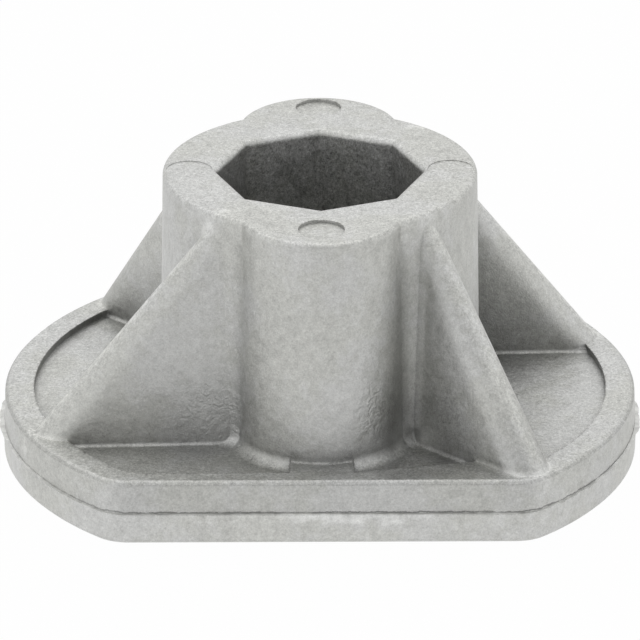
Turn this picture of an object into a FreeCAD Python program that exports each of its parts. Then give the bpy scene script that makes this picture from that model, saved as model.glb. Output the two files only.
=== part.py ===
"""Mower blade adapter: one die-cast aluminium piece.

A base with two round ends and two flats, and two shallow pockets in its top,
carries a barrel with an octagonal socket. The barrel has a half-round lobe at
the front and one at the rear, and four triangular ribs with rounded ridges
brace it against the base. Seen from above the part is the same after half a
turn, so each pocket, lobe and rib is made once and turned. Only the marks of
the ejector pins are set a little to the rear.

Millimetres, +Z up, origin in the middle of the underside, +X along the base.
"""
import FreeCAD
import Part
import math
import os

from FreeCAD import Vector

# Base: a drafted lower half and a drafted upper half that meet at the parting line
base_radius = 42.4
base_half_width = 32.2
base_height = 8.7
parting_height = 4.2
parting_step = 0.2
base_draft = 2.0
base_corner_radius = 6.0
base_top_chamfer = 0.5
base_bottom_chamfer = 0.4

# Two shallow pockets in the top of the base, with a land between them at each lobe: the rim of the
# left pocket is narrow along the front flat, and narrows from wide along the rear flat
rim_width = 4.2
narrow_rim_width = 3.2
wide_rim_width = 6.7
wide_rim_end = 20.5
land_width = 8.4
pocket_depth = 0.9
pocket_corner_radius = 4.0

# Barrel and its two lobes, with their radii at the top
overall_height = 39.6
barrel_radius = 20.8
lobe_radius = 10.7
lobe_offset = 15.2
barrel_draft = 1.0
barrel_edge_radius = 0.7
barrel_foot_radius = 1.6
foot_gap_height = 2.0

# Octagonal socket, right through
socket_across_flats = 25.4
socket_lip_radius = 0.8

# Ribs: one pair runs along the base, the other pair is diagonal, with their thickness at the height of
# the barrel's top
rib_thickness = 3.27
rib_draft = 3.0
rib_foot_radius = 0.5
ridge_run = 1.8
along_rib_offset = 13.95
along_rib_turn = 2.3
along_rib_inset = 1.7
along_rib_drop = 2.6
diagonal_rib_offset = -0.6
diagonal_rib_turn = -45.0
diagonal_rib_inset = 1.0
diagonal_rib_drop = 1.7

# Round marks of the ejector pins in the top of the barrel
pin_mark_diameter = 6.1
lobe_pin_depth = 0.4
side_pin_depth = 0.1
front_pin_offset = 20.5
rear_pin_offset = 21.9
side_pin_offset = 17.3

ORIGIN = Vector(0, 0, 0)
Z_AXIS = Vector(0, 0, 1)
floor_height = base_height - pocket_depth
pocket_radius = base_radius - rim_width
pocket_near = base_half_width - narrow_rim_width
pocket_far = base_half_width - wide_rim_width
socket_corner_radius = socket_across_flats / 2 / math.cos(math.radians(22.5))


def slope(angle):
    """Sideways run for each unit of height on a face drafted by an angle in degrees."""
    return math.tan(math.radians(angle))


lower_taper = parting_height * slope(base_draft)
upper_taper = (base_height - parting_height) * slope(base_draft)


def polar(radius, angle):
    """Point in the XY plane at a radius and an angle in degrees."""
    return Vector(radius * math.cos(math.radians(angle)), radius * math.sin(math.radians(angle)), 0)


def half_turn(shape):
    """The same shape after half a turn about Z."""
    copy = shape.copy()
    copy.rotate(ORIGIN, Z_AXIS, 180)
    return copy


def raised(wire, height):
    """The wire lifted to a height."""
    copy = wire.copy()
    copy.translate(Vector(0, 0, height))
    return copy


def edges_at(shape, height):
    """Edges of a shape that lie level at a height."""
    found = []
    for edge in shape.Edges:
        box = edge.BoundBox
        if abs(box.ZMin - height) < 1e-4 and abs(box.ZMax - height) < 1e-4:
            found.append(edge)
    return found


def flat_disc(radius, half_width, corner_radius):
    """Outline of a disc cut by two flats, with its four corners rounded."""
    corner_y = half_width - corner_radius
    corner_x = math.sqrt((radius - corner_radius) ** 2 - corner_y ** 2)
    corner_angle = math.degrees(math.atan2(corner_y, corner_x))
    flat_end = Vector(corner_x, half_width, 0)
    round_end = polar(radius, corner_angle)
    corner_middle = Vector(corner_x, corner_y, 0) + polar(corner_radius, (90 + corner_angle) / 2)

    def mirrored(point, sign_x, sign_y):
        return Vector(sign_x * point.x, sign_y * point.y, 0)

    edges = []
    for sign in (1, -1):
        edges.append(Part.Arc(mirrored(round_end, sign, -sign), Vector(sign * radius, 0, 0),
                              mirrored(round_end, sign, sign)).toShape())
        edges.append(Part.Arc(mirrored(round_end, sign, sign), mirrored(corner_middle, sign, sign),
                              mirrored(flat_end, sign, sign)).toShape())
        edges.append(Part.makeLine(mirrored(flat_end, sign, sign), mirrored(flat_end, -sign, sign)))
        edges.append(Part.Arc(mirrored(flat_end, -sign, sign), mirrored(corner_middle, -sign, sign),
                              mirrored(round_end, -sign, sign)).toShape())
    return Part.Wire(edges)


def base_outline(offset):
    """Outline of the base, grown by an offset from its size at the parting line."""
    return flat_disc(base_radius + offset, base_half_width + offset, base_corner_radius + offset)


def pocket():
    """The left pocket: the part of a disc that lies left of the lands and within the rims along the flats."""
    disc = Part.makeCylinder(pocket_radius, pocket_depth, Vector(0, 0, floor_height))
    bounds = Part.makePolygon([Vector(-land_width / 2, -pocket_near, floor_height),
                               Vector(-land_width / 2, pocket_near, floor_height),
                               Vector(-wide_rim_end, pocket_far, floor_height),
                               Vector(-base_radius, pocket_far, floor_height),
                               Vector(-base_radius, -pocket_near, floor_height),
                               Vector(-land_width / 2, -pocket_near, floor_height)])
    piece = disc.common(Part.Face(bounds).extrude(Vector(0, 0, pocket_depth)))
    corners = []
    for edge in piece.Edges:
        if edge.BoundBox.ZLength > pocket_depth / 2 and edge.BoundBox.XMax < -wide_rim_end - 1:
            corners.append(edge)
    return piece.makeFillet(pocket_corner_radius, corners)


def base():
    """The two drafted halves of the base, with the pockets cut in its top."""
    lower = Part.makeLoft([base_outline(-lower_taper), raised(base_outline(0), parting_height)], True, True)
    upper = Part.makeLoft([raised(base_outline(-parting_step), parting_height),
                           raised(base_outline(-parting_step - upper_taper), base_height)], True, True)
    lower = lower.makeChamfer(base_bottom_chamfer, edges_at(lower, 0))
    upper = upper.makeChamfer(base_top_chamfer, edges_at(upper, base_height))
    left = pocket()
    return lower.fuse(upper).cut([left, half_turn(left)])


def post(top_radius):
    """Drafted round post on the pocket floor, turned about Z, with a rounded top edge and a hollow foot."""
    draft = math.radians(barrel_draft)
    out_of_wall = Vector(math.cos(draft), 0, math.sin(draft))
    edge_drop = barrel_edge_radius * (1 - math.sin(draft))
    edge_centre = Vector(top_radius + edge_drop * slope(barrel_draft) - barrel_edge_radius * math.cos(draft), 0,
                         overall_height - barrel_edge_radius)
    edge_end = edge_centre + out_of_wall * barrel_edge_radius
    edge_middle = edge_centre + Vector(math.sin(math.radians(45) - draft / 2), 0,
                                       math.cos(math.radians(45) - draft / 2)) * barrel_edge_radius
    foot_rise = barrel_foot_radius * (1 - math.sin(draft))
    wall_x = top_radius + (overall_height - floor_height - foot_rise) * slope(barrel_draft)
    foot_start = Vector(wall_x, 0, floor_height + foot_rise)
    foot_centre = foot_start + out_of_wall * barrel_foot_radius
    foot_middle = foot_centre - Vector(math.sin(math.radians(45) - draft / 2), 0,
                                       math.cos(math.radians(45) - draft / 2)) * barrel_foot_radius
    foot_end = Vector(foot_centre.x, 0, floor_height)
    sunk = Vector(foot_centre.x, 0, parting_height)
    profile = [Part.makeLine(Vector(0, 0, parting_height), Vector(0, 0, overall_height)),
               Part.makeLine(Vector(0, 0, overall_height), Vector(edge_centre.x, 0, overall_height)),
               Part.Arc(Vector(edge_centre.x, 0, overall_height), edge_middle, edge_end).toShape(),
               Part.makeLine(edge_end, foot_start),
               Part.Arc(foot_start, foot_middle, foot_end).toShape(),
               Part.makeLine(foot_end, sunk),
               Part.makeLine(sunk, Vector(0, 0, parting_height))]
    return Part.Face(Part.Wire(profile)).revolve(ORIGIN, Z_AXIS, 360)


def barrel():
    """The round barrel with a lobe in front and one behind."""
    lobe = post(lobe_radius)
    lobe.translate(Vector(0, lobe_offset, 0))
    return post(barrel_radius).fuse([lobe, half_turn(lobe)])


def foot_gap():
    """Room in front of a lobe, clear of its wall, where its foot is cut off square above the land."""
    wall = Part.makeCone(lobe_radius + (overall_height - base_height) * slope(barrel_draft), lobe_radius,
                         overall_height - base_height, Vector(0, lobe_offset, base_height))
    room = Part.makeBox(land_width, lobe_radius + barrel_foot_radius, foot_gap_height,
                        Vector(-land_width / 2, lobe_offset, base_height))
    return room.cut(wall)


def rib_half_thickness(height):
    """Half the thickness of a rib at a height."""
    return rib_thickness / 2 + (overall_height - height) * slope(rib_draft)


def rib_section():
    """Cross-section of a rib from inside the base to the height of the barrel, narrowing upwards."""
    foot = parting_height / 2
    half_top = rib_half_thickness(overall_height)
    half_foot = rib_half_thickness(foot)
    return Part.makePolygon([Vector(0, -half_foot, foot), Vector(0, half_foot, foot),
                             Vector(0, half_top, overall_height), Vector(0, -half_top, overall_height),
                             Vector(0, -half_foot, foot)])


def rib_foot_section():
    """Cross-section of the foot of a rib, with a hollow fillet on each side above the pocket floor."""
    draft = math.radians(rib_draft)
    reach = rib_foot_radius / math.tan(math.radians(45) + draft / 2)
    corner = Vector(0, rib_half_thickness(floor_height), floor_height)
    outer = corner + Vector(0, reach, 0)
    inner = corner + Vector(0, -reach * math.sin(draft), reach * math.cos(draft))
    centre = outer + Vector(0, 0, rib_foot_radius)
    middle = centre + (corner - centre).normalize() * rib_foot_radius
    below = Vector(0, outer.y, parting_height)

    def mirrored(point):
        return Vector(0, -point.y, point.z)

    return Part.Wire([Part.makeLine(mirrored(below), below),
                      Part.makeLine(below, outer),
                      Part.Arc(outer, middle, inner).toShape(),
                      Part.makeLine(inner, mirrored(inner)),
                      Part.Arc(mirrored(inner), mirrored(middle), mirrored(outer)).toShape(),
                      Part.makeLine(mirrored(outer), mirrored(below))])


def upright(points, half_span):
    """Solid of a side view, given as points in the XZ plane, that spans both sides of that plane."""
    outline = []
    for x, z in points + points[:1]:
        outline.append(Vector(x, -half_span, z))
    return Part.Face(Part.makePolygon(outline)).extrude(Vector(0, 2 * half_span, 0))


def ridge_ball(x, crest, rise):
    """Middle and radius of the ball at x that touches both sides of a rib and its crest, which falls by the rise."""
    lean = math.sqrt(1 + rise ** 2) * math.cos(math.radians(rib_draft))
    height = (crest - lean * rib_half_thickness(0)) / (1 - lean * slope(rib_draft))
    return Vector(x, 0, height), rib_half_thickness(height) * math.cos(math.radians(rib_draft))


def ridge_cone(low_ball, high_ball):
    """The cone that two balls of a ridge touch from inside."""
    low, low_radius = low_ball
    high, high_radius = high_ball
    along = high - low
    sine = (low_radius - high_radius) / along.Length
    cosine = math.sqrt(1 - sine ** 2)
    along.normalize()
    start = low + along * low_radius * sine
    end = high + along * high_radius * sine
    return Part.makeCone(low_radius * cosine, high_radius * cosine, (end - start).Length, start, along)


def rib(offset, turn, tip_radius, top):
    """Triangular rib in a vertical plane, made along +X and then turned by an angle about Z.

    Its plane passes the axis at an offset, and its crest comes down from the top,
    at the barrel's wall, to the base, at the tip radius. Its sides are drafted, and
    its ridge is the part of a cone that rolls over from one side to the other, so
    it widens towards the tip.
    """
    tip = math.sqrt(tip_radius ** 2 - offset ** 2)
    ridge_start = math.sqrt(barrel_radius ** 2 - offset ** 2)
    rise = (top - base_height) / (tip - ridge_start)
    ridge_end = ridge_start - ridge_run

    def ball(x):
        return ridge_ball(x, base_height + (tip - x) * rise, rise)

    def side_end(x):
        """Height at x of the line where the flat sides end and the ridge starts."""
        low, low_radius = ball(tip)
        high, high_radius = ball(ridge_end)
        reach = math.sin(math.radians(rib_draft))
        share = (tip - x) / (tip - ridge_end)
        return (low.z + low_radius * reach) * (1 - share) + (high.z + high_radius * reach) * share

    foot = parting_height / 2
    half_span = rib_half_thickness(foot) + rib_foot_radius
    length = Vector(tip, 0, 0)
    sides = upright([(0, foot), (tip, foot), (tip, side_end(tip)), (ridge_end, side_end(ridge_end)),
                     (0, side_end(ridge_end))], half_span)
    above = upright([(tip, side_end(tip)), (tip, overall_height), (ridge_end, overall_height),
                     (ridge_end, side_end(ridge_end))], half_span)
    below = upright([(0, foot), (tip, foot), (tip, base_height), (ridge_start, top), (0, top)], half_span)
    cone = ridge_cone(ball(tip + rib_thickness), ball(ridge_end - rib_thickness))
    web = sides.common(Part.Face(rib_section()).extrude(length))
    web = web.fuse(cone.common(above))
    web = web.fuse(below.common(Part.Face(rib_foot_section()).extrude(length)))
    web.translate(Vector(0, offset, 0))
    web.rotate(ORIGIN, Z_AXIS, turn)
    return web


def ribs():
    """Both pairs of ribs, kept within the flat top of the base."""
    along = rib(along_rib_offset, 180 + along_rib_turn, base_radius - along_rib_inset,
                overall_height - along_rib_drop)
    diagonal = rib(diagonal_rib_offset, diagonal_rib_turn, base_radius - diagonal_rib_inset,
                   overall_height - diagonal_rib_drop)
    flat_top = base_outline(-parting_step - upper_taper - base_top_chamfer)
    room = Part.Face(raised(flat_top, parting_height)).extrude(Vector(0, 0, overall_height))
    pairs = []
    for web in (along.common(room), diagonal.common(room)):
        pairs.extend([web, half_turn(web)])
    return pairs


def cut_socket(shape):
    """Cuts the octagonal socket, with corners on X and Y, and rounds its upper edge."""
    corners = []
    for index in range(9):
        corners.append(polar(socket_corner_radius, 45 * index))
    shape = shape.cut(Part.Face(Part.makePolygon(corners)).extrude(Vector(0, 0, overall_height)))
    lip = []
    for edge in edges_at(shape, overall_height):
        box = edge.BoundBox
        if max(box.XMax, -box.XMin, box.YMax, -box.YMin) < socket_corner_radius + 1e-4:
            lip.append(edge)
    return shape.makeFillet(socket_lip_radius, lip)


def pin_marks():
    """Four shallow discs to cut into the top of the barrel."""
    marks = []
    for x, y, depth in ((0, -front_pin_offset, lobe_pin_depth), (0, rear_pin_offset, lobe_pin_depth),
                        (side_pin_offset, 0, side_pin_depth), (-side_pin_offset, 0, side_pin_depth)):
        marks.append(Part.makeCylinder(pin_mark_diameter / 2, depth, Vector(x, y, overall_height - depth)))
    return marks


def adapter():
    """The whole casting."""
    body = base().fuse([barrel()] + ribs()).removeSplitter()
    body = cut_socket(body)
    gap = foot_gap()
    for hollow in pin_marks() + [gap, half_turn(gap)]:
        body = body.cut(hollow)
    return body


os.makedirs("parts", exist_ok=True)
casting = adapter()
casting.exportStep("parts/blade_adapter.step")
print("solids", len(casting.Solids), "valid", casting.isValid(), "faces", len(casting.Faces),
      "volume", round(casting.Volume, 1))
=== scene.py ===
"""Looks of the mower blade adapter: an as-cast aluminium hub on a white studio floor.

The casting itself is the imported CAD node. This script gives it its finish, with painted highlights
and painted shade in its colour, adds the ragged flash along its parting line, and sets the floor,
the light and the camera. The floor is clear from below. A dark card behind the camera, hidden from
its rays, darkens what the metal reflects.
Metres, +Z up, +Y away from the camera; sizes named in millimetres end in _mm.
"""
import math

import bpy
import numpy as np
from mathutils import Matrix, Vector


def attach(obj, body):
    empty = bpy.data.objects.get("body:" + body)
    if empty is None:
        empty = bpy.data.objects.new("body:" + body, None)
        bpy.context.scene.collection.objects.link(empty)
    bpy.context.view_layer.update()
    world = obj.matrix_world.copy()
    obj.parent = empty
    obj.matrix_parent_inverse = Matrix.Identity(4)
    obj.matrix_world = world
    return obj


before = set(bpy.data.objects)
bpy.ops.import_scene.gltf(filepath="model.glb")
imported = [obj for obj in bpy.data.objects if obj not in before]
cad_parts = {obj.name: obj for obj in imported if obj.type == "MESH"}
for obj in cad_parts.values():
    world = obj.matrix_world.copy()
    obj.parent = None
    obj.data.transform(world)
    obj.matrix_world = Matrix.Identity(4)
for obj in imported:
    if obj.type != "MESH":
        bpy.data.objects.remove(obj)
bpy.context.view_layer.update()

MM = 0.001

# Outline of the base at its parting line, where the lower half stands proud of the upper half
base_radius_mm = 42.4
base_half_width_mm = 32.2
base_corner_radius_mm = 6.0
parting_height_mm = 4.2
parting_step_mm = 0.2

# Other sizes of the casting that the finish goes by
base_height_mm = 8.7
floor_height_mm = 7.8
barrel_top_mm = 39.6
land_half_width_mm = 4.2
socket_reach_mm = 14.0

# Flash left at the parting line: thickness, mean and least reach, how far its root sinks below that line,
# the heights of its edge as shares of its thickness, and the number of sections around the outline
flash_thickness_mm = 0.12
flash_reach_mm = 0.10
flash_least_mm = 0.02
flash_sink_mm = 0.03
flash_edge_shares = (0.2, 0.53)
flash_stations = 2400

# How its reach wanders in mm, and how its remnants and its thickness do as shares of themselves:
# amount, knots around the outline and seed
reach_wanders = [(0.08, 31, 1), (0.07, 120, 2), (0.05, 420, 3)]
remnant_wander = (0.3, 90, 4)
thickness_wander = (0.4, 200, 5)

# Places where more flash is left: angle about Z and half width in degrees, and extra reach in mm
flash_remnants = [
    (178.0, 5.0, 0.30), (187.0, 4.0, 0.28), (-5.0, 4.0, 0.32), (2.0, 2.5, 0.25),
    (-42.5, 0.7, 0.35), (-145.0, 3.0, 0.15), (-112.0, 2.0, 0.12), (-75.0, 3.0, 0.12),
]

# Crests of the two ribs on the left, from the base up to the barrel, each with how bright its painted
# highlight and its wear make it; those on the right are half a turn on
rib_crest_highlights_mm = [
    ((-37.6, -15.5, base_height_mm), (-14.9, -14.6, 37.0), 0.24),
    ((-28.8, 29.7, base_height_mm), (-14.3, 15.1, 37.9), 0.10),
]

# Middle of the painted shade in the soft groove on the right of the front lobe, from the axis; the rear
# lobe's is half a turn on
lobe_groove_mm = (10.4, 18.1)

# Places where the metal met cold, each with a reach
wrinkled_places_mm = [((-14.0, -17.0, 11.5), 9.0), ((7.6, -23.4, 15.2), 6.0)]

# Noises of the skin, from coarse to fine: features per millimetre, detail and roughness
clouds_noise = (0.09, 3.0, 0.5)
mottling_noise = (0.7, 3.0, 0.6)
grain_noise = (2.2, 2.0, 0.7)
sparkle_noise = (5.0, 1.0, 0.6)

# Colours of the metal, of the flash, whose paler colour is a painted highlight, and of the studio
warm_metal = (0.550, 0.552, 0.528, 1.0)
cool_metal = (0.543, 0.545, 0.534, 1.0)
flash_highlight_colour = (0.66, 0.662, 0.645, 1.0)
metallic_share = 0.95
white = (1.0, 1.0, 1.0, 1.0)
floor_white = (0.9, 0.9, 0.9, 1.0)
card_dark = (0.05, 0.05, 0.05, 1.0)

# Light from all round, the share of its own white that the floor shows, and the floor's half side and level
studio_light = 0.6
floor_own_share = 0.98
floor_half = 3.0
floor_level_mm = -0.05

# Softboxes: name, place and target in metres, side in metres and power in watts
softboxes = [
    ("top_softbox", (-0.07, 0.3, 0.74), (0.0, 0.0, 0.03), 0.7, 0.95),
    ("left_softbox", (-0.75, -0.4, 0.25), (0.0, 0.0, 0.02), 0.6, 0.36),
    ("right_softbox", (0.8, -0.1, 0.25), (0.0, 0.0, 0.02), 0.6, 0.22),
]

# The photograph's camera: angles in radians, the point it looks at, its distance in metres, and its lens
camera_elevation = 0.4083
camera_azimuth = -0.0098
camera_roll = 0.0005
camera_target_mm = (0.0126, 0.0, 17.85)
camera_distance = 1.05
camera_sensor_mm = 36.0
camera_lens_mm = 443.1


class Value:
    """A shader socket in plain arithmetic: each operator adds one Math node."""

    def __init__(self, nodes, socket):
        self.nodes = nodes
        self.socket = socket

    def math(self, operation, first, second):
        return self.nodes.add("ShaderNodeMath", {"operation": operation}, {0: first, 1: second})

    def __add__(self, other):
        return self.math("ADD", self, other)

    def __radd__(self, other):
        return self.math("ADD", other, self)

    def __sub__(self, other):
        return self.math("SUBTRACT", self, other)

    def __rsub__(self, other):
        return self.math("SUBTRACT", other, self)

    def __mul__(self, other):
        return self.math("MULTIPLY", self, other)

    def __rmul__(self, other):
        return self.math("MULTIPLY", other, self)

    def __pow__(self, other):
        return self.math("POWER", self, other)

    def __abs__(self):
        return self.math("ABSOLUTE", self, 0.0)

    def most(self, other):
        return self.math("MAXIMUM", self, other)

    def part(self, name):
        """Another output of the node this value comes from."""
        return Value(self.nodes, self.socket.node.outputs[name])


class Nodes:
    """The node tree of one material or of the world."""

    def __init__(self, owner):
        owner.use_nodes = True
        self.tree = owner.node_tree
        self.tree.nodes.clear()

    def add(self, kind, settings, sockets, output=0):
        """One node: its settings are set first, then its sockets get their values or links."""
        node = self.tree.nodes.new(kind)
        for name, setting in settings.items():
            setattr(node, name, setting)
        for name, value in sockets.items():
            if isinstance(value, Value):
                self.tree.links.new(value.socket, node.inputs[name])
            else:
                node.inputs[name].default_value = value
        return Value(self, node.outputs[output]) if node.outputs else node

    def place_mm(self):
        """The place on the piece, in millimetres."""
        metres = self.add("ShaderNodeTexCoord", {}, {}, "Object")
        return self.add("ShaderNodeVectorMath", {"operation": "SCALE"}, {0: metres, "Scale": 1 / MM})

    def rise(self, value, low, high):
        """0 below low and 1 above high, with a smooth step between."""
        return self.add("ShaderNodeMapRange", {"interpolation_type": "SMOOTHSTEP"},
                        {"Value": value, "From Min": low, "From Max": high})

    def fall(self, value, low, high):
        """1 below low and 0 above high, with a smooth step between."""
        return 1 - self.rise(value, low, high)

    def band(self, value, low, full, fade, high):
        """0 below low, 1 from full to fade and 0 above high, with smooth steps between."""
        return self.rise(value, low, full) * self.fall(value, fade, high)

    def noise(self, place, scale, detail, roughness, distortion=0.0):
        """Cloudy noise about 0, with features of about 1 / scale."""
        return self.add("ShaderNodeTexNoise", {}, {"Vector": place, "Scale": scale, "Detail": detail,
                                                   "Roughness": roughness, "Distortion": distortion}) - 0.5

    def occlusion(self, reach_mm, inside=False):
        """How much of the view from the surface is blocked within a reach, or of that into the metal."""
        settings = {"samples": 4, "inside": inside, "only_local": True}
        open_share = self.add("ShaderNodeAmbientOcclusion", settings, {"Distance": reach_mm * MM}, "AO")
        return 1 - open_share

    def softened(self, radius_mm):
        """Normals that are rounded over the edges within a radius."""
        return self.add("ShaderNodeBevel", {"samples": 4}, {"Radius": radius_mm * MM})

    def mix_colours(self, share, first, second, blend="MIX"):
        """A share of the second colour blended into the first."""
        return self.add("ShaderNodeMix", {"data_type": "RGBA", "blend_type": blend},
                        {0: share, 6: first, 7: second}, 2)


class Skin(Nodes):
    """The casting's node tree: the place on the casting in mm, the way it faces and the noises of its skin.

    The casting is the same after half a turn about Z, so the folded place is always on its left half:
    a place on the right half is brought there by half a turn. Each lobe has a tight side, where a
    diagonal rib is close to it: the front right and the rear left.
    """

    def __init__(self, material):
        super().__init__(material)
        self.place = self.place_mm()
        self.along = self.add("ShaderNodeSeparateXYZ", {}, {0: self.place}, "X")
        self.depth = self.along.part("Y")
        self.height = self.along.part("Z")

        # Distances from the middle: to either side, to the front or the back, and all round
        self.aside = abs(self.along)
        self.outwards = abs(self.depth)
        self.from_axis = (self.along * self.along + self.depth * self.depth) ** 0.5

        # The folded place, and the tight side of each lobe
        turn = self.add("ShaderNodeMath", {"operation": "SIGN"}, {0: self.along}) * -1
        self.folded_along = self.along * turn
        self.folded_depth = self.depth * turn
        self.tight_side = self.rise(self.folded_depth, -2.0, 2.0)

        # The way the surface faces
        normal = self.add("ShaderNodeTexCoord", {}, {}, "Normal")
        self.facing_x = self.add("ShaderNodeSeparateXYZ", {}, {0: normal}, "X")
        self.facing_y = self.facing_x.part("Y")
        self.facing_up = self.facing_x.part("Z")

        # Noises, the gaps that break the bright and dark lines, and nearness to a corner of the metal
        self.clouds = self.noise(self.place, *clouds_noise)
        self.mottling = self.noise(self.place, *mottling_noise)
        self.grain = self.noise(self.place, *grain_noise)
        self.sparkle = self.noise(self.place, *sparkle_noise)
        self.broken = self.rise(self.mottling + self.grain * 0.7, -0.16, 0.14)
        self.corner = self.occlusion(1.0)


def plain_skin(skin):
    """Tone of the plain skin: clouds, mottling and fine grain, which shows most on faces that look up."""
    coarse = 0.6 + 0.55 * skin.rise(skin.facing_up, 0.3, 0.9)
    return skin.clouds * 0.25 + skin.mottling * 0.5 + (skin.grain * 0.85 + skin.sparkle * 0.75) * coarse


def base_chamfer(skin):
    """The chamfer round the top of the base, just under its edge, which gets painted shade."""
    wide_mm, narrow_mm = 1.4, 1.1
    at_ends = skin.rise(skin.from_axis, base_radius_mm - wide_mm, base_radius_mm - narrow_mm)
    at_flats = skin.rise(skin.outwards, base_half_width_mm - wide_mm, base_half_width_mm - narrow_mm)
    heights_mm = [base_height_mm - below for below in (0.6, 0.45, 0.3, 0.1)]
    return at_ends.most(at_flats) * skin.band(skin.height, *heights_mm)


def rib_crest_highlights(skin):
    """Painted highlights, partly wear too, along the crests of the ribs, as broken lines: nearness to each
    crest, times how bright it is.
    """
    folded = skin.add("ShaderNodeCombineXYZ", {},
                      {"X": skin.folded_along, "Y": skin.folded_depth, "Z": skin.height})
    crests = 0.0
    for low, high, brightness in rib_crest_highlights_mm:
        run = (Vector(high) - Vector(low)).normalized()
        out = skin.add("ShaderNodeVectorMath", {"operation": "SUBTRACT"}, {0: folded, 1: low})
        across = skin.add("ShaderNodeVectorMath", {"operation": "CROSS_PRODUCT"}, {0: out, 1: run})
        away = skin.add("ShaderNodeVectorMath", {"operation": "LENGTH"}, {0: across}, "Value")
        crests = crests + skin.fall(away + skin.mottling * 0.6, 0.3, 1.5) * brightness
    return crests * (0.35 + 0.5 * skin.broken)


def barrel_groove_shade(skin):
    """Painted shade in the soft grooves beside the barrel, deepest on the tight side of each lobe."""
    groove = skin.rise(skin.occlusion(4.0), 0.25, 0.80) * skin.band(skin.height, 9.0, 10.5, 20.0, 37.0)
    return groove * (0.6 + 0.4 * skin.tight_side)


def lobe_groove_shade(skin):
    """Painted shade at the bottom of the groove on the tight side of each lobe."""
    groove_aside, groove_depth = lobe_groove_mm
    off_aside = skin.aside - groove_aside
    off_depth = skin.folded_depth - groove_depth
    from_groove = (off_aside * off_aside + off_depth * off_depth) ** 0.5
    return skin.fall(from_groove, 0.3, 2.4) * skin.band(skin.height, 9.5, 12.0, 26.0, 37.0)


def deep_hollows(skin):
    """Less light deep between the ribs, but not so much outside the straight ribs and beside the lobes."""
    deep = skin.rise(skin.occlusion(14.0), 0.12, 0.75) * (1 - 0.55 * skin.rise(skin.height, 14.0, 34.0))
    beside_rib = skin.fall(skin.folded_along, -16.0, -12.0) * skin.fall(skin.folded_depth, -18.0, -16.0)
    beside_lobe = skin.band(skin.outwards, 13.0, 16.0, 28.0, 28.8) * skin.fall(skin.aside, 12.5, 17.0)
    low_down = skin.rise(skin.aside, 5.0, 8.0) * skin.fall(skin.height, 9.0, 15.0)
    half_up = skin.band(skin.height, 13.0, 17.0, 21.0, 27.0)
    by_groove = skin.rise(skin.aside, 9.2, 10.8) * skin.tight_side * (0.42 + 0.2 * half_up)
    return deep * (1 - 0.16 * beside_rib) * (1 - beside_lobe * (0.40 * low_down + by_groove))


def pin_mark_shade(skin):
    """Painted shade in the pin marks on top of the lobes, broken by noise."""
    on_top = skin.rise(skin.height, barrel_top_mm - 1.2, barrel_top_mm - 0.7)
    on_lobe = skin.rise(skin.outwards, 14.0, 16.0)
    return skin.rise(skin.corner, 0.25, 0.70) * on_top * on_lobe * (0.5 + skin.broken)


def socket_walls(skin):
    """1 on the walls of the socket, below its lip."""
    inside = skin.fall(skin.from_axis, socket_reach_mm - 0.1, socket_reach_mm + 0.1)
    return inside * skin.fall(skin.height, barrel_top_mm - 1.0, barrel_top_mm - 0.3)


def lobe_lands(skin):
    """1 where a lobe stands over its land."""
    over_land = skin.fall(skin.aside, land_half_width_mm - 0.3, land_half_width_mm)
    return over_land * skin.rise(skin.outwards, 25.0, 25.3)


def foot_patch_shade(skin):
    """Painted shade on the round feet beside each land: a little on the open side, and dark at their slanted
    ends.
    """
    patch = (skin.band(skin.aside, 4.0, 4.3, 10.5, 11.5) * skin.band(skin.outwards, 21.0, 22.5, 28.0, 28.5)
             * skin.band(skin.height, floor_height_mm + 0.05, floor_height_mm + 0.3, 9.4, 10.2))
    slanted_end = skin.fall(skin.aside - skin.outwards * 1.47, -34.5, -34.0)
    return patch * (0.08 * (1 - skin.tight_side) + 0.36 * slanted_end)


def strip_foot_shade(skin):
    """Painted shade at the foot of the narrow strip of barrel between each lobe's tight side and the diagonal
    rib.
    """
    across_strip = skin.band(skin.aside, 10.6, 11.2, 12.8, 13.4)
    at_wall = skin.band(skin.folded_depth, 15.5, 16.5, 19.5, 20.5)
    low_down = skin.band(skin.height, floor_height_mm + 0.1, floor_height_mm + 0.6, 9.0, 10.8)
    return across_strip * at_wall * low_down


def rib_tip_foot_highlight(skin):
    """A painted highlight: the bright line at the foot of each rib, where it goes on round the tip."""
    from_straight_rib = abs(skin.folded_depth + 18.5)
    straight_tip = skin.fall(skin.folded_along, -31.5, -31.0) * skin.fall(from_straight_rib, 2.0, 2.5)
    diagonal_tip = skin.rise(skin.folded_depth, 25.0, 26.0) * skin.fall(skin.folded_along, -20.0, -19.5)
    at_tip = straight_tip.most(diagonal_tip)
    return at_tip * skin.rise(skin.corner, 0.05, 0.25) * skin.fall(skin.height, 9.3, 9.9)


def parting_line_shadow(skin):
    """Painted shadow along the step where the two halves of the die met: a dark broken line, fainter towards
    the left end.
    """
    ragged = skin.noise(skin.place, 0.5, 4.0, 0.7) * 0.9
    from_line = abs(skin.height - (parting_height_mm + 0.18) - ragged)
    line = skin.fall(from_line, 0.04, 0.16) * skin.rise(skin.clouds + skin.mottling, -0.35, -0.08)
    return line * (0.35 + 0.65 * skin.rise(skin.along, -40.0, -20.0))


def trimmed_band(skin):
    """The scaly band below the parting line at the front, where flash was trimmed off."""
    uneven_height = skin.height + skin.mottling * 1.4
    scaly_edge = skin.rise(uneven_height, parting_height_mm - 1.5, parting_height_mm - 1.1)
    below_line = skin.fall(skin.height, parting_height_mm - 0.15, parting_height_mm)
    at_front = skin.band(skin.along, -19.0, -17.0, 11.0, 16.0) * skin.fall(skin.depth, -20.0, -10.0)
    return scaly_edge * below_line * at_front * (0.09 + skin.mottling * 0.6)


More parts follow.
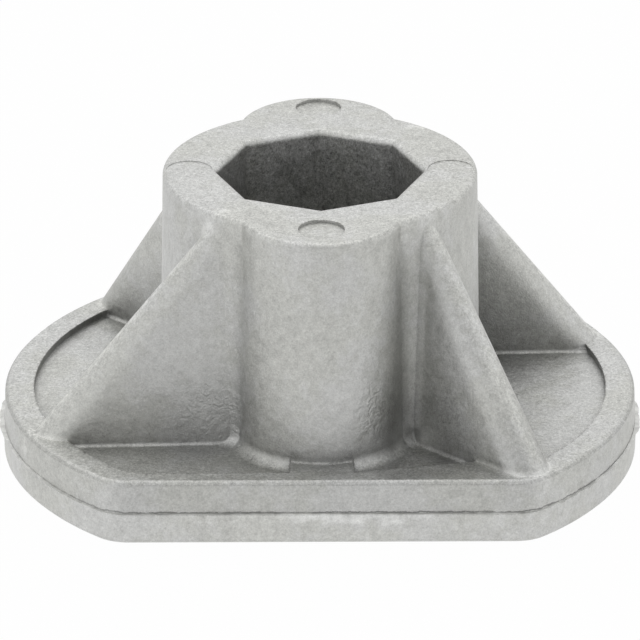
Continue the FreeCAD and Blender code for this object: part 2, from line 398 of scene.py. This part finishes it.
def lobe_highlight_and_shade(skin):
    """Each lobe's edge over its land with a painted highlight, and painted shade on the foot above that edge
    and on its lower wall, darker towards the bottom.
    """
    land = lobe_lands(skin)
    edge_heights_mm = [base_height_mm + above for above in (0.02, 0.1, 0.25, 0.4)]
    edge = land * skin.band(skin.height, *edge_heights_mm) * skin.broken
    uneven_height = skin.height + skin.mottling * 1.5
    foot = land * skin.rise(skin.height, 8.9, 9.1) * skin.fall(uneven_height, 10.3, 11.2)
    low_wall = skin.rise(skin.outwards, 20.0, 22.0) * skin.band(skin.height, 9.0, 9.5, 11.0, 20.0)
    return edge, foot, low_wall


def base_side_light_and_shade(skin):
    """Painted shade on the flat sides of the base above the parting line, and painted light on the whole of
    the base below that line.
    """
    flat_side = skin.rise(abs(skin.facing_y), 0.85, 0.98)
    above_line = skin.rise(skin.height, parting_height_mm + 0.1, parting_height_mm + 0.3)
    upper = flat_side * above_line * skin.fall(skin.height, base_height_mm - 0.8, base_height_mm - 0.1)
    lower = skin.fall(skin.height, parting_height_mm - 0.1, parting_height_mm + 0.1)
    return upper, lower


def metal_tone(skin, edge, near_edge, shaded_chamfer):
    """The metal's tone about 1: lighter marks are added to the plain skin, and darker ones taken off."""
    fine = skin.grain + skin.sparkle
    specks = skin.rise(near_edge, 0.20, 0.50) * (skin.mottling * 0.6 + fine)
    socket = socket_walls(skin)
    # Painted shade on the socket walls, deepest on those that face to either side
    socket_shade = socket * (0.13 + 0.15 * skin.rise(abs(skin.facing_x), 0.5, 0.8))
    lobe_edge_highlight, lobe_foot_shade, lobe_low_wall_shade = lobe_highlight_and_shade(skin)
    upper_side_shade, lower_side_light = base_side_light_and_shade(skin)

    # Each mark with how much it lightens or darkens the metal, most of them painted highlights, light and
    # shade; those outside the lists hold their own amounts
    tone = 1 + plain_skin(skin) + rib_crest_highlights(skin) + trimmed_band(skin)
    lighter_marks = [
        (socket * fine, 0.7), (edge, 0.40), (specks, 0.65), (lobe_edge_highlight, 0.5),
        (rib_tip_foot_highlight(skin), 0.4), (lower_side_light, 0.06),
    ]
    for mark, amount in lighter_marks:
        tone = tone + mark * amount
    tone = tone * (1 - socket_shade) * (1 - foot_patch_shade(skin))
    darker_marks = [
        (barrel_groove_shade(skin), 0.28), (lobe_groove_shade(skin), 0.10), (pin_mark_shade(skin), 0.45),
        (deep_hollows(skin), 0.6), (parting_line_shadow(skin), 0.55), (lobe_foot_shade, 0.12), (lobe_low_wall_shade, 0.10),
        (strip_foot_shade(skin), 0.28), (upper_side_shade, 0.08), (shaded_chamfer, 0.16),
    ]
    for mark, amount in darker_marks:
        tone = tone * (1 - mark * amount)
    return tone


def cold_wrinkles(skin):
    """Folds where the metal met cold, low on the left front rib and on the right of the front lobe."""
    wrinkled = 0.0
    for middle, reach in wrinkled_places_mm:
        away = skin.add("ShaderNodeVectorMath", {"operation": "DISTANCE"},
                        {0: skin.place, 1: middle}, "Value")
        wrinkled = wrinkled + skin.fall(away, reach * 0.3, reach)
    return skin.noise(skin.place, 1.0, 2.0, 0.5, 1.2) * wrinkled


def skin_normal(skin):
    """Normals with soft edges, softest on the ribs and the barrel's corners, and the relief of the skin."""
    between = skin.band(skin.height, 9.5, 11.0, 36.0, 38.0)
    shape = skin.add("ShaderNodeMix", {"data_type": "VECTOR"},
                     {0: between, 4: skin.softened(0.4), 5: skin.softened(3.5)}, 1)
    relief_mm = (skin.sparkle * 0.015 + skin.grain * 0.03 + skin.mottling * 0.08 + skin.clouds * 0.25
                 + cold_wrinkles(skin) * 0.14)
    return skin.add("ShaderNodeBump", {},
                    {"Strength": 1.0, "Distance": 1.0, "Height": relief_mm * MM, "Normal": shape})


def cast_aluminium():
    """As-cast aluminium: grainy grey skin, bright edges of wear and painted highlight, painted shade in the
    hollows and a ragged parting line.
    """
    material = bpy.data.materials.new("cast_aluminium")
    skin = Skin(material)
    near_edge = skin.occlusion(0.45, True)
    shaded_chamfer = base_chamfer(skin)
    # Bright broken lines along the edges: partly wear, partly painted highlight
    edge = skin.rise(near_edge, 0.50, 0.75) * skin.broken * (1 - shaded_chamfer)
    cool = skin.rise(skin.clouds + skin.mottling * 0.4, -0.08, 0.12)
    metal = skin.mix_colours(cool, warm_metal, cool_metal)
    colour = skin.mix_colours(1.0, metal, metal_tone(skin, edge, near_edge, shaded_chamfer), "MULTIPLY")
    roughness = 0.5 + skin.mottling * 0.14 + skin.grain * 0.2 - edge * 0.08
    surface = skin.add("ShaderNodeBsdfPrincipled", {},
                       {"Base Color": colour, "Metallic": metallic_share, "Roughness": roughness,
                        "Normal": skin_normal(skin)})
    skin.add("ShaderNodeOutputMaterial", {}, {"Surface": surface})
    return material


def flash_metal():
    """The thin flash: the same metal, plain and paler as a painted highlight, with a faint mottling."""
    material = bpy.data.materials.new("flash_metal")
    nodes = Nodes(material)
    tone = 1 + nodes.noise(nodes.place_mm(), *mottling_noise) * 0.8
    colour = nodes.mix_colours(1.0, flash_highlight_colour, tone, "MULTIPLY")
    surface = nodes.add("ShaderNodeBsdfPrincipled", {},
                        {"Base Color": colour, "Metallic": metallic_share, "Roughness": 0.55})
    nodes.add("ShaderNodeOutputMaterial", {}, {"Surface": surface})
    return material


def seen_rays(nodes):
    """1 for the rays of the camera, of reflections and of glass; 0 for the rays that only light things."""
    path = nodes.add("ShaderNodeLightPath", {}, {}, "Is Camera Ray")
    return path.most(path.part("Is Glossy Ray")).most(path.part("Is Transmission Ray"))


def white_floor():
    """A plain white floor: mostly its own white where it is seen, with a little of the shadow left in it.

    In the socket it is only lit, and so dark. From below it is clear, so that the underside of the
    part can be looked at.
    """
    material = bpy.data.materials.new("white_floor")
    nodes = Nodes(material)
    from_axis = nodes.add("ShaderNodeVectorMath", {"operation": "LENGTH"}, {0: nodes.place_mm()}, "Value")
    outside = nodes.rise(from_axis, socket_reach_mm, socket_reach_mm + 1.0)
    lit = nodes.add("ShaderNodeBsdfDiffuse", {}, {"Color": floor_white})
    own = nodes.add("ShaderNodeEmission", {}, {"Color": white, "Strength": 1.0})
    own_share = seen_rays(nodes) * outside * floor_own_share
    both = nodes.add("ShaderNodeMixShader", {}, {0: own_share, 1: lit, 2: own})
    below = nodes.add("ShaderNodeNewGeometry", {}, {}, "Backfacing")
    clear = nodes.add("ShaderNodeBsdfTransparent", {}, {})
    one_sided = nodes.add("ShaderNodeMixShader", {}, {0: below, 1: both, 2: clear})
    nodes.add("ShaderNodeOutputMaterial", {}, {"Surface": one_sided})
    return material


def set_world():
    """A white studio: plain soft light all round, and white wherever it is seen."""
    world = bpy.data.worlds.new("studio")
    bpy.context.scene.world = world
    nodes = Nodes(world)
    strength = studio_light + seen_rays(nodes) * (1 - studio_light)
    sky = nodes.add("ShaderNodeBackground", {}, {"Color": white, "Strength": strength})
    nodes.add("ShaderNodeOutputWorld", {}, {"Surface": sky})


def add_softbox(name, place, target, size, power):
    """A square area light at a place, turned to a target."""
    lamp = bpy.data.lights.new(name, "AREA")
    lamp.size = size
    lamp.energy = power
    box = bpy.data.objects.new(name, lamp)
    box.location = place
    box.rotation_mode = "QUATERNION"
    box.rotation_quaternion = (Vector(target) - Vector(place)).to_track_quat("-Z", "Y")
    bpy.context.scene.collection.objects.link(box)


def add_sheet(name, corners, material):
    """A flat sheet of the studio, through four corners."""
    mesh = bpy.data.meshes.new(name)
    mesh.from_pydata(corners, [], [(0, 1, 2, 3)])
    mesh.materials.append(material)
    sheet = bpy.data.objects.new(name, mesh)
    bpy.context.scene.collection.objects.link(sheet)
    return sheet


def add_floor():
    """A wide plain square just under the part."""
    half = floor_half
    level = floor_level_mm * MM
    corners = [(-half, -half, level), (half, -half, level), (half, half, level), (-half, half, level)]
    add_sheet("floor", corners, white_floor())


def add_dark_card():
    """The dark side of the studio, behind the camera and a little to its right, hidden from the camera."""
    material = bpy.data.materials.new("dark_card")
    nodes = Nodes(material)
    dark = nodes.add("ShaderNodeBsdfDiffuse", {}, {"Color": card_dark})
    nodes.add("ShaderNodeOutputMaterial", {}, {"Surface": dark})
    left, right = -0.35, 0.85
    low, high = 0.3, 0.95
    near = -1.4
    corners = [(left, near, low), (left, near, high), (right, near, high), (right, near, low)]
    card = add_sheet("dark_card", corners, material)
    card.visible_camera = False


def add_camera():
    """The photograph's view: a long lens from the front, a little above the part."""
    level_share = math.cos(camera_elevation)
    back = Vector((math.sin(camera_azimuth) * level_share, -math.cos(camera_azimuth) * level_share,
                   math.sin(camera_elevation)))
    right = Vector((math.cos(camera_azimuth), math.sin(camera_azimuth), 0.0))
    up = back.cross(right)
    turned_right = right * math.cos(camera_roll) + up * math.sin(camera_roll)
    turned_up = back.cross(turned_right)
    camera = bpy.data.objects.new("camera", bpy.data.cameras.new("camera"))
    camera.data.sensor_width = camera_sensor_mm
    camera.data.lens = camera_lens_mm
    camera.data.clip_start = 0.05
    camera.data.clip_end = 20.0
    axes = Matrix((turned_right, turned_up, back)).transposed().to_4x4()
    camera.matrix_world = Matrix.Translation(Vector(camera_target_mm) * MM + back * camera_distance) @ axes
    bpy.context.scene.collection.objects.link(camera)
    bpy.context.scene.camera = camera


def arc(start, end, count):
    """Points on the unit circle, evenly spaced from one angle to another."""
    sweep = np.linspace(start, end, count)
    return np.stack([np.cos(sweep), np.sin(sweep)], 1)


def base_outline(count):
    """Evenly spaced points and outward normals on the base's outline at its parting line, in mm.

    The outline is the disc x² + y² = (R - c)² cut at |y| = W - c, grown by the corner radius c.
    """
    inner_radius = base_radius_mm - base_corner_radius_mm
    inner_half = base_half_width_mm - base_corner_radius_mm
    end_steps, corner_steps = 2000, 400
    end_angle = math.asin(inner_half / inner_radius)
    right_end = arc(-end_angle, end_angle, end_steps) * base_radius_mm
    corner_centre = np.array([math.cos(end_angle), math.sin(end_angle)]) * inner_radius
    corner = corner_centre + arc(end_angle, math.pi / 2, corner_steps) * base_corner_radius_mm
    far_corner = corner[::-1] * (-1, 1)
    half = np.concatenate([right_end, corner, far_corner])
    loop = np.concatenate([half, -half, half[:1]])
    run = np.concatenate([[0.0], np.cumsum(np.linalg.norm(np.diff(loop, axis=0), axis=1))])
    even = np.arange(count) * run[-1] / count
    points = np.stack([np.interp(even, run, loop[:, axis]) for axis in (0, 1)], 1)
    tangents = np.roll(points, -1, 0) - np.roll(points, 1, 0)
    tangents /= np.linalg.norm(tangents, axis=1, keepdims=True)
    normals = np.stack([tangents[:, 1], -tangents[:, 0]], 1)
    return points, normals


def wander(amount, knots, seed):
    """Smooth random values from -amount to amount at the flash's stations, through a closed loop of knots."""
    values = np.random.default_rng(seed).uniform(-1, 1, knots)
    place = np.arange(flash_stations) * knots / flash_stations
    before = place.astype(int)
    share = place - before
    share = share * share * (3 - 2 * share)
    return amount * (values[before] * (1 - share) + values[(before + 1) % knots] * share)


def ragged_reach(points):
    """How far the flash reaches out at each point of the outline, in mm.

    The mean reach wanders over about 8 mm, 2 mm and 0.6 mm of the outline. Each remnant adds
    its extra reach times exp(-(angle off its middle / its width)^4), and no reach is below the least.
    """
    reach = np.full(flash_stations, flash_reach_mm)
    for reach_wander in reach_wanders:
        reach += wander(*reach_wander)
    angle = np.degrees(np.arctan2(points[:, 1], points[:, 0]))
    for middle, width, extra in flash_remnants:
        off = (angle - middle + 180) % 360 - 180
        reach += extra * np.exp(-(off / width) ** 4) * (1 + wander(*remnant_wander))
    return np.maximum(reach, 0.0) + flash_least_mm


def add_parting_flash(material):
    """A thin ragged fin on the step between the two halves of the base.

    Its section is a wedge carried round the outline: from the root on the step, it thins to a
    third of its thickness at the edge.
    """
    points, normals = base_outline(flash_stations)
    reach = ragged_reach(points)
    thickness = flash_thickness_mm * (1 + wander(*thickness_wander))
    root = np.full(flash_stations, -parting_step_mm)
    sink = np.full(flash_stations, -flash_sink_mm)
    across = np.stack([root, reach, reach, root], 1)
    edge_low, edge_high = [thickness * share for share in flash_edge_shares]
    up = np.stack([sink, edge_low, edge_high, thickness], 1) + parting_height_mm
    ring = points[:, None, :] + normals[:, None, :] * across[:, :, None]
    places = np.concatenate([ring, up[:, :, None]], 2).reshape(-1, 3) * MM
    station = np.arange(flash_stations)[:, None]
    corner = np.arange(4)[None, :]
    after = (station + 1) % flash_stations
    following = (corner + 1) % 4
    faces = np.stack([station * 4 + corner, after * 4 + corner,
                      after * 4 + following, station * 4 + following], 2)
    mesh = bpy.data.meshes.new("parting_flash")
    mesh.from_pydata(places.tolist(), [], faces.reshape(-1, 4).tolist())
    mesh.materials.append(material)
    flash = bpy.data.objects.new("parting_flash", mesh)
    bpy.context.scene.collection.objects.link(flash)
    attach(flash, "root")


def dress(node, material):
    """Gives a CAD node one material in place of its own."""
    node.data.materials.clear()
    node.data.materials.append(material)


dress(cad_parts["blade_adapter"], cast_aluminium())
add_parting_flash(flash_metal())
set_world()
add_floor()
add_dark_card()
for softbox in softboxes:
    add_softbox(*softbox)
add_camera()

bpy.context.scene.view_settings.view_transform = "Standard"
